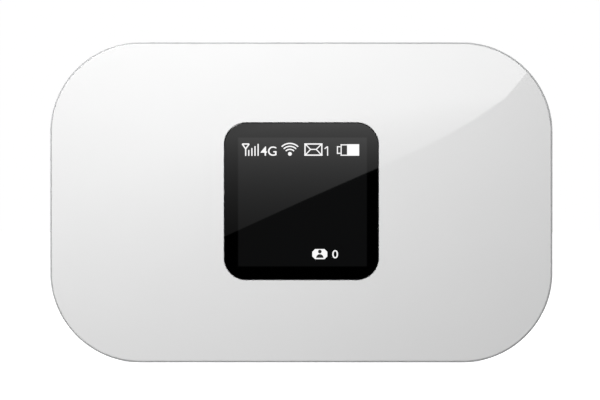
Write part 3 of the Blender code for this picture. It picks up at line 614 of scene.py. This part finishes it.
def buildKey(name, node, body, drawMark):
    size = dict(rim=0.25 * mm, flange=0.6 * mm, overlap=0.1 * mm)
    low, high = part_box(node)
    top = Vector(((low.x + high.x) / 2, 0, high.z))
    half = keyCap / 2
    flangeTop = low.z + size["flange"]
    foot = Vector((top.x, 0, flangeTop - size["overlap"]))
    cap = roundSlab(name, foot - half, top + half, zAxis, half.y * 0.97, 16)
    softenRim(cap, zAxis, size["rim"], 4)
    flange = roundSlab("flange", low, Vector((high.x, high.y, flangeTop)), zAxis,
                       (high.y - low.y) * 0.48, 12)
    weldOn(cap, flange)
    giveOut(cap, body, "silver", silver, node)
    mark = drawMark(top)
    giveOut(mark, body, "black_plastic", blackPlastic)


def powerMark(top):  # broken ring with a bar
    ring = addArc("ring", top, zAxis, 0.55 * mm, 0.15 * mm, 125, 290)
    bar = addBar("bar", top + yAxis * 0.15 * mm, top + yAxis * 0.75 * mm, zAxis, 0.15 * mm)
    return joinAll("powerMark", [ring, bar])


def menuMark(top):  # three short lines
    lines = [addBar("line", top + Vector((-0.6, across, 0)) * mm, top + Vector((0.6, across, 0)) * mm,
                    zAxis, 0.14 * mm) for across in (-0.42, 0, 0.42)]
    return joinAll("menuMark", lines)


print("keys")
buildKey("powerKey", "power_button", "power_key", powerMark)
buildKey("menuKey", "menu_button", "menu_key", menuMark)


# screen signs, printed by the lit display right at the pane's face

def buildSigns():
    size = dict(stroke=0.25 * mm, thin=0.205 * mm, bar=0.245 * mm)
    centre = Vector((screenMiddle.x, paneLow.y, screenMiddle.z))
    lit = signLight("signLight", (1.0, 1.0, 1.0), 0.97)

    def at(x, z):
        return centre + Vector((x, 0, z)) * mm

    def lines(name, width, *runs):
        strokes = []
        for run in runs:
            for start, end in zip(run, run[1:]):
                lift = (0.006 + 0.0008 * len(strokes)) * mm
                strokes.append(addBar(name, at(*start), at(*end), -yAxis, width, lift))
        return strokes

    def text(name, words, left, right, bottom, top, bold=0.0):
        bpy.ops.object.select_all(action="DESELECT")
        bpy.ops.object.text_add(rotation=(math.pi / 2, 0, 0))
        writing = bpy.context.object
        writing.data.body = words
        writing.data.offset = bold
        writing.data.extrude = 0.01
        bpy.ops.object.convert(target="MESH")
        piece = placed(name)
        wide, tall = piece.dimensions.x, piece.dimensions.z
        corner = Vector([min(c[axis] for c in piece.bound_box) for axis in range(3)])
        piece.location = -corner
        placed(name)
        piece.scale = ((right - left) * mm / wide, 0.0007, (top - bottom) * mm / tall)
        placed(name)
        piece.location = at(left, bottom) - yAxis * 0.006 * mm
        return placed(name)

    signal = lines("signal", size["stroke"], [(-11.62, 11.16), (-10.25, 11.16)],
                   [(-11.62, 11.16), (-10.90, 10.15)], [(-10.25, 11.16), (-10.98, 10.15)],
                   [(-10.94, 10.4), (-10.94, 8.82)])
    for number, height in enumerate((1.17, 1.55, 1.93, 2.36)):
        foot = -10.33 + 0.615 * number
        signal += lines("signal", size["bar"], [(foot, 8.82), (foot, 8.82 + height)])
    giveSign(joinAll("signSignal", signal), lit)

    giveSign(text("signNetwork", "4G", -7.98, -4.86, 8.84, 10.68, bold=0.004), lit)

    fan = [addArc("fan", at(-2.22, 8.94), -yAxis, radius * mm, 0.25 * mm, 46, 88, 0.006 * mm)
           for radius in (1.17, 1.76, 2.34)]
    dot = addRod("dot", at(-2.22, 9.22), at(-2.22, 9.22) - yAxis * 0.006 * mm, 0.38 * mm, 28)
    giveSign(joinAll("signWireless", [*fan, dot]), lit)

    mail = lines("mail", size["stroke"],
                 [(0.62, 11.16), (4.21, 11.16)], [(0.62, 8.97), (4.21, 8.97)],
                 [(0.76, 8.84), (0.76, 11.29)], [(4.07, 8.84), (4.07, 11.29)])
    mail += lines("mail", size["thin"], [(0.86, 11.1), (1.86, 10.1), (0.86, 9.03)],
                  [(3.97, 11.1), (2.97, 10.1), (3.97, 9.03)], [(1.80, 10.1), (3.03, 10.1)])
    giveSign(joinAll("signMail", mail), lit)
    digit = lines("digit", size["thin"], [(5.21, 8.84), (5.21, 10.70)], [(4.62, 10.22), (5.16, 10.64)])
    giveSign(joinAll("digitMail", digit), lit)

    battery = lines("charge", size["thin"],
                    [(7.04, 10.62), (7.75, 10.62)], [(7.04, 9.33), (7.75, 9.33)],
                    [(7.15, 9.20), (7.15, 10.74)], [(7.76, 10.99), (11.4, 10.99)],
                    [(7.76, 8.95), (11.4, 8.95)],
                    [(7.88, 8.84), (7.88, 11.12)])
    battery.append(roundSlab("charge", at(9.05, 8.85) - yAxis * 0.014 * mm, at(11.44, 11.12), yAxis,
                             size["thin"] / 10, 1))
    giveSign(joinAll("signCharge", battery), lit)

    badge = addSlab("badge", at(2.19, -11.54) - yAxis * 0.006 * mm, at(5.15, -9.55))
    roundCorners(badge, yAxis, 0.55 * mm, 1)
    giveSign(joinAll("signUsers", [badge]), lit)
    head = addRod("head", at(3.68, -10.05), at(3.68, -10.05) - yAxis * 0.010 * mm, 0.36 * mm, 24)
    bust = addRod("bust", at(3.68, -11.28), at(3.68, -11.28) - yAxis * 0.010 * mm, 0.72 * mm, 32)
    editOnly(bust, "FACE")
    bpy.ops.mesh.select_all(action="SELECT")
    bpy.ops.mesh.bisect(plane_co=at(0, -11.24), plane_no=zAxis, use_fill=True, clear_inner=True)
    stopEdit()
    person = joinAll("signPerson", [head, bust])
    giveOut(person, "housing", "black_window", signLight("signDark", (0.004, 0.004, 0.004), 1.0))
    giveSign(text("digitUsers", "0", 6.13, 7.27, -11.38, -9.76, bold=0.006), lit)


def giveSign(piece, lit):
    return giveOut(piece, "housing", "panel_glass", lit)


print("screen")
buildSigns()


# sockets

def buildUsb():
    size = dict(sheet=0.28 * mm, corner=0.5 * mm, taper=0.86, leaf=Vector((2.2, 0, 0.7)) * mm,
                contact=Vector((3.2, 0.05, 0.38)) * mm, pitch=0.65 * mm)
    low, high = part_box("usb_socket")
    centre = (low + high) / 2
    shell = addSlab("usbShell", low, high)
    pickFaces(shell, facing(-yAxis))
    bpy.ops.transform.resize(value=(1, 1, size["taper"]))
    stopEdit()
    roundCorners(shell, xAxis, size["corner"], 6)
    pickFaces(shell, facing(-xAxis))
    bpy.ops.mesh.inset(thickness=size["sheet"])
    push((high.x - low.x - size["sheet"], 0, 0))
    stopEdit()
    slots = []
    for side in (-1, 1):  # the two spring leaves cut from the rear wall
        leafMiddle = Vector((low.x + 2.4 * mm, high.y, centre.z + side * 1.6 * mm))
        half = size["leaf"] / 2
        slot = addSlab("slot", leafMiddle - half - yAxis * size["sheet"] * 1.5,
                       leafMiddle + half + yAxis * mm)
        leaf = addSlab("leafCut", leafMiddle - half * 0.7 - yAxis * size["sheet"] * 2,
                       leafMiddle + half * 0.7 + yAxis * 2 * mm)
        leaf.location.x -= 0.35 * mm
        placed("leafCut")
        slots.append(cutAway(slot, leaf))
    cutAway(shell, *slots)
    giveOut(shell, "housing", "steel", steel, "usb_socket")

    low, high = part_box("usb_tongue")
    tongue = addSlab("usbTongue", low, high)
    softenRim(tongue, -xAxis, 0.12 * mm, 3)
    giveOut(tongue, "housing", "black_plastic", blackPlastic, "usb_tongue")
    start = Vector((low.x + 0.25 * mm, low.y, (low.z + high.z) / 2 - 2 * size["pitch"]))
    half = size["contact"] / 2
    strips = [addSlab("usbPads", start + Vector((0, -half.y, -half.z)),
                      start + Vector((size["contact"].x, half.y, half.z)))]
    softenRim(strips[0], -yAxis, 0.02 * mm, 2)
    strips += [copyOf(strips[0], "usbPads", zAxis * size["pitch"] * number) for number in range(1, 5)]
    giveOut(joinAll("usbPads", strips), "housing", "gold", gold)


def dressCardSockets():
    simLow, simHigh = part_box("sim_card")
    size = dict(cut=2.5 * mm, corner=0.6 * mm, pad=Vector((2.4, 0.03, 1.9)) * mm,
                step=Vector((2.7, 0, 2.25)) * mm, padCorner=0.3 * mm)
    card = addSlab("simCard", simLow, simHigh)
    cutCorner = Vector((simHigh.x, 0, simHigh.z))

    def across(place, direction):  # how far an edge through the card is from its cut corner
        return (place - cutCorner).xz.length if abs(direction.y) > 0.9 else -1

    pickEdges(card, lambda place, direction: 0 <= across(place, direction) < mm)
    bpy.ops.mesh.bevel(offset=size["cut"], segments=1, affect="EDGES")
    stopEdit()
    pickEdges(card, lambda place, direction: across(place, direction) > 4 * mm)
    bpy.ops.mesh.bevel(offset=size["corner"], segments=6, affect="EDGES")
    stopEdit()
    giveOut(card, "sim", "card_white", cardFace(simLow, simHigh), "sim_card")
    first = Vector((simLow.x + 2.2 * mm, simLow.y, simLow.z + 4.0 * mm))
    pads = [addSlab("simPads", first - size["pad"] / 2, first + size["pad"] / 2)]
    roundCorners(pads[0], yAxis, size["padCorner"], 4)
    for column in range(3):
        for row in range(3):
            if column or row:
                step = Vector((size["step"].x * column, 0, size["step"].z * row))
                pads.append(copyOf(pads[0], "simPads", step))
    giveOut(joinAll("simPads", pads), "sim", "gold", gold)


def cardFace(low, high):
    paint = Paint("cardFace", Roughness=0.35)
    x, _, z = coordinates(paint)
    upper = ((z - low.z) / (high.z - low.z) + (x - low.x) / (high.x - low.x) * 0.35).above(0.78, 0.01)
    paint.set("Base Color", paint.blend(upper, (0.78, 0.79, 0.80), (0.02, 0.22, 0.42)))
    paint.set("Roughness", 0.3 + paint.noise(1.5 * mm, 3) * 0.15)
    return paint.material


print("sockets")
buildUsb()
dressCardSockets()


# battery and fixings

def buildBattery():
    size = dict(corner=1.6 * mm, end=0.5 * mm, padSize=Vector((0.1, 1.6, 1.9)) * mm, padStep=3 * mm,
                baseCorner=0.3 * mm, baseEdge=0.05 * mm)
    low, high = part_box("battery_cell")
    cell = roundSlab("batteryCell", low, high, xAxis, size["corner"], 14)
    softenRim(cell, -xAxis, size["end"], 4)
    giveOut(cell, "battery", "battery_grey", batterySilver, "battery_cell")
    labelLow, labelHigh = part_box("battery_label")
    label = roundSlab("batteryLabel", labelLow, labelHigh, yAxis, 0.6 * mm, 6)
    giveOut(label, "battery", "label_white",
            printedLabel("batteryPrint", (0.70, 0.71, 0.72), (0.10, 0.11, 0.12), labelLow, labelHigh),
            "battery_label")
    low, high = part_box("battery_terminals")
    backing = roundSlab("terminalBase", low, high, xAxis, size["baseCorner"], 4)
    softenRim(backing, xAxis, size["baseEdge"], 2)
    giveOut(backing, "battery", "gold", blackPlastic, "battery_terminals")
    centre = Vector((high.x, (low.y + high.y) / 2, (low.z + high.z) / 2 - 1.5 * size["padStep"]))
    half = size["padSize"] / 2
    pads = [addSlab("terminals", centre - half, centre + half)]
    softenRim(pads[0], xAxis, 0.04 * mm, 2)
    pads += [copyOf(pads[0], "terminals", zAxis * size["padStep"] * number) for number in range(1, 4)]
    giveOut(joinAll("terminals", pads), "battery", "gold", gold)


def buildScrews():
    size = dict(shank=0.8 * mm, chamfer=0.3 * mm, cross=Vector((1.5, 1.0, 0.28)) * mm,
                head=0.8 * mm, overlap=0.1 * mm)
    model = None
    for number in range(1, 7):
        low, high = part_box(f"case_screw_{number}")
        centre = Vector(((low.x + high.x) / 2, high.y, (low.z + high.z) / 2))
        if model:
            screw = copyOf(model, f"caseScrew{number}", centre - modelCentre)
        else:
            headLow = centre - yAxis * size["head"]
            screw = addRod("caseScrew1", headLow, centre, (high.x - low.x) / 2, 36)
            softenRim(screw, yAxis, size["chamfer"], 4)
            for arm in (size["cross"], Vector((size["cross"].z, size["cross"].y, size["cross"].x))):
                cutAway(screw, addSlab("arm", centre - arm / 2, centre + arm / 2))
            shank = addRod("shank", Vector((centre.x, low.y, centre.z)),
                           headLow + yAxis * size["overlap"], size["shank"], 24)
            weldOn(screw, shank)
            model, modelCentre = screw, centre
        giveOut(screw, "housing", "steel", steel, f"case_screw_{number}")


print("battery and screws")
buildBattery()
buildScrews()


# finishes of the pieces that keep their own shape

bayLow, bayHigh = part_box("bay_label")
board = solderMask()
film = amberFilm()
lcd = cellGlass()
bayPrint = printedLabel("bayPrint", (0.66, 0.66, 0.64), (0.16, 0.16, 0.17), bayLow, bayHigh)
keptFinishes = {
    "chassis": chassisGrey, "window_tape": tapeBlack, "display_gasket": tapeBlack,
    "display_glass": lcd, "display_backlight": holderWhite, "display_holder": blackPlastic,
    "display_ribbon": film, "ribbon_connector": blackPlastic, "main_board": board,
    "modem_shield": steel, "radio_shield": steel, "modem_chip": epoxy, "memory_chip": epoxy,
    "wireless_chip": epoxy, "power_chip": epoxy, "antenna_main": gold, "antenna_diversity": gold,
    "antenna_wireless": gold, "antenna_carrier_left": blackPlastic,
    "antenna_carrier_right": blackPlastic, "power_switch": steel, "menu_switch": steel,
    "reset_switch": steel, "power_plunger": blackPlastic, "menu_plunger": blackPlastic,
    "reset_plunger": blackPlastic, "sim_socket": steel, "memory_socket": steel,
    "battery_cap": blackPlastic, "bay_label": bayPrint, "contact_block": blackPlastic,
    **{f"contact_spring_{number}": gold for number in range(1, 5)},
}
for name, finish in keptFinishes.items():
    for slot in nodes[name].material_slots:
        slot.material = finish


# studio

def buildStudio():
    view = dict(lens=300, frameWidth=118.64 * mm, aside=-0.27 * mm, above=0.49 * mm)
    key = dict(place=Vector((-80, -207, 140)) * mm, side=70 * mm, power=0.678)
    card = dict(distance=0.5, middle=0.29, growth=0.108, top=1.6, slope=0.03, most=5.0)
    fills = ((Vector((190, 330, 260)), 160, 0.95), (Vector((-330, 180, 60)), 220, 0.12))
    ambient = dict(front=0.25, back=0.12)
    scene = bpy.context.scene
    scene.view_settings.view_transform = "Standard"

    lens = bpy.data.cameras.new("camera")
    lens.lens, lens.sensor_width = view["lens"], 36
    lens.clip_start, lens.clip_end = 0.05, 60
    camera = bpy.data.objects.new("camera", lens)
    far = view["lens"] / lens.sensor_width * view["frameWidth"]
    camera.location = (middle.x + view["aside"], bandLow.y - far, middle.z + view["above"])
    camera.rotation_euler = (math.pi / 2, 0, 0)
    scene.collection.objects.link(camera)
    scene.camera = camera

    addLamp("keyLamp", key["place"], key["side"], key["power"])
    for place, side, power in fills:
        addLamp("fillLamp", place * mm, side * mm, power)
    SkyPaint(bpy.data.worlds.new("studio"), ambient)

    bpy.ops.object.select_all(action="DESELECT")
    bpy.ops.mesh.primitive_plane_add(size=9, location=(0, 0, -0.05 * mm))
    floor = placed("floor")
    floor.data.materials.append(paleFloor())
    floor.visible_diffuse = floor.visible_glossy = False
    bpy.ops.mesh.primitive_uv_sphere_add(radius=4, segments=48, ring_count=24)
    dome = placed("backdrop")
    dome.data.materials.append(glow("backdropWhite", 1.0))
    for ray in ("visible_diffuse", "visible_glossy", "visible_transmission", "visible_shadow"):
        setattr(dome, ray, False)
    reflected = buildCard(card, far)


def addLamp(name, place, side, power):  # a round lamp turned to the body
    lamp = bpy.data.lights.new(name, "AREA")
    lamp.shape, lamp.size, lamp.energy = "DISK", side, power
    holder = bpy.data.objects.new(name, lamp)
    holder.location = middle + place
    holder.rotation_euler = (-place).to_track_quat("-Z", "Y").to_euler()
    bpy.context.scene.collection.objects.link(holder)


class SkyPaint(Paint):  # dark straight ahead of the front face, pale all round
    def __init__(self, world, ambient):
        bpy.context.scene.world = world
        self.openTree(world, "Background", "Generated")
        _, y, _ = coordinates(self)
        ahead = (y + 0.88).above(0, 0.16)
        behind = (y - 0.3).above(0, 0.4)
        self.set("Color", (1.0, 1.0, 1.0))
        self.set("Strength", ahead * ambient["front"] + behind * ambient["back"])


def paleFloor():
    paint = Paint("paleFloor", Base_Color=(0.8, 0.8, 0.8), Roughness=0.9)
    paint.set("Emission Color", (1.0, 1.0, 1.0))
    paint.shader.inputs["Emission Strength"].default_value = 1.0
    return paint.material


def glow(name, strength):
    paint = Paint(name, Roughness=1.0, Base_Color=(0.0, 0.0, 0.0))
    paint.set("Emission Color", (1.0, 1.0, 1.0))
    paint.shader.inputs["Emission Strength"].default_value = strength
    return paint.material


def buildCard(card, far):  # a soft card beside the camera, whose edge the glossy face mirrors
    edge = [(-75, -34.5), (-14.9, -6.8), (0.7, 0.3), (16.2, 7.1), (25.7, 11.4), (33.8, 16.0),
            (40.3, 20.4), (44.6, 25.5), (47.5, 31.0), (49.5, 40.0)]
    corners = [*edge, (49.5, 60), (-75, 60)]
    spread = 1 + card["distance"] / far
    bpy.ops.object.select_all(action="DESELECT")
    bpy.ops.mesh.primitive_circle_add(vertices=len(corners), fill_type="NGON",
                                      rotation=(math.pi / 2, 0, 0))
    sheet = placed("softCard")
    centre = Vector((middle.x, coverLow.y - card["distance"], middle.z))
    for corner, (x, z) in zip(sheet.data.vertices, corners):
        corner.co = centre + Vector((x, 0, z)) * mm * spread
    sheet.data.update()
    paint = Paint("cardGlow", Roughness=1.0, Base_Color=(0.0, 0.0, 0.0))
    x, _, z = coordinates(paint)
    rise = ((z - middle.z) * (card["growth"] / spread / mm)).does("EXPONENT") * card["middle"]
    level = rise.does("MINIMUM", x * (card["slope"] / spread / mm) + card["top"]).does("MAXIMUM", 0.0)
    paint.set("Emission Color", paint.blend(level / card["most"], (0, 0, 0), (card["most"],) * 3))
    paint.shader.inputs["Emission Strength"].default_value = 1.0
    sheet.data.materials.append(paint.material)
    sheet.visible_camera = False
    sheet.visible_shadow = False
    return sheet


print("studio")
buildStudio()
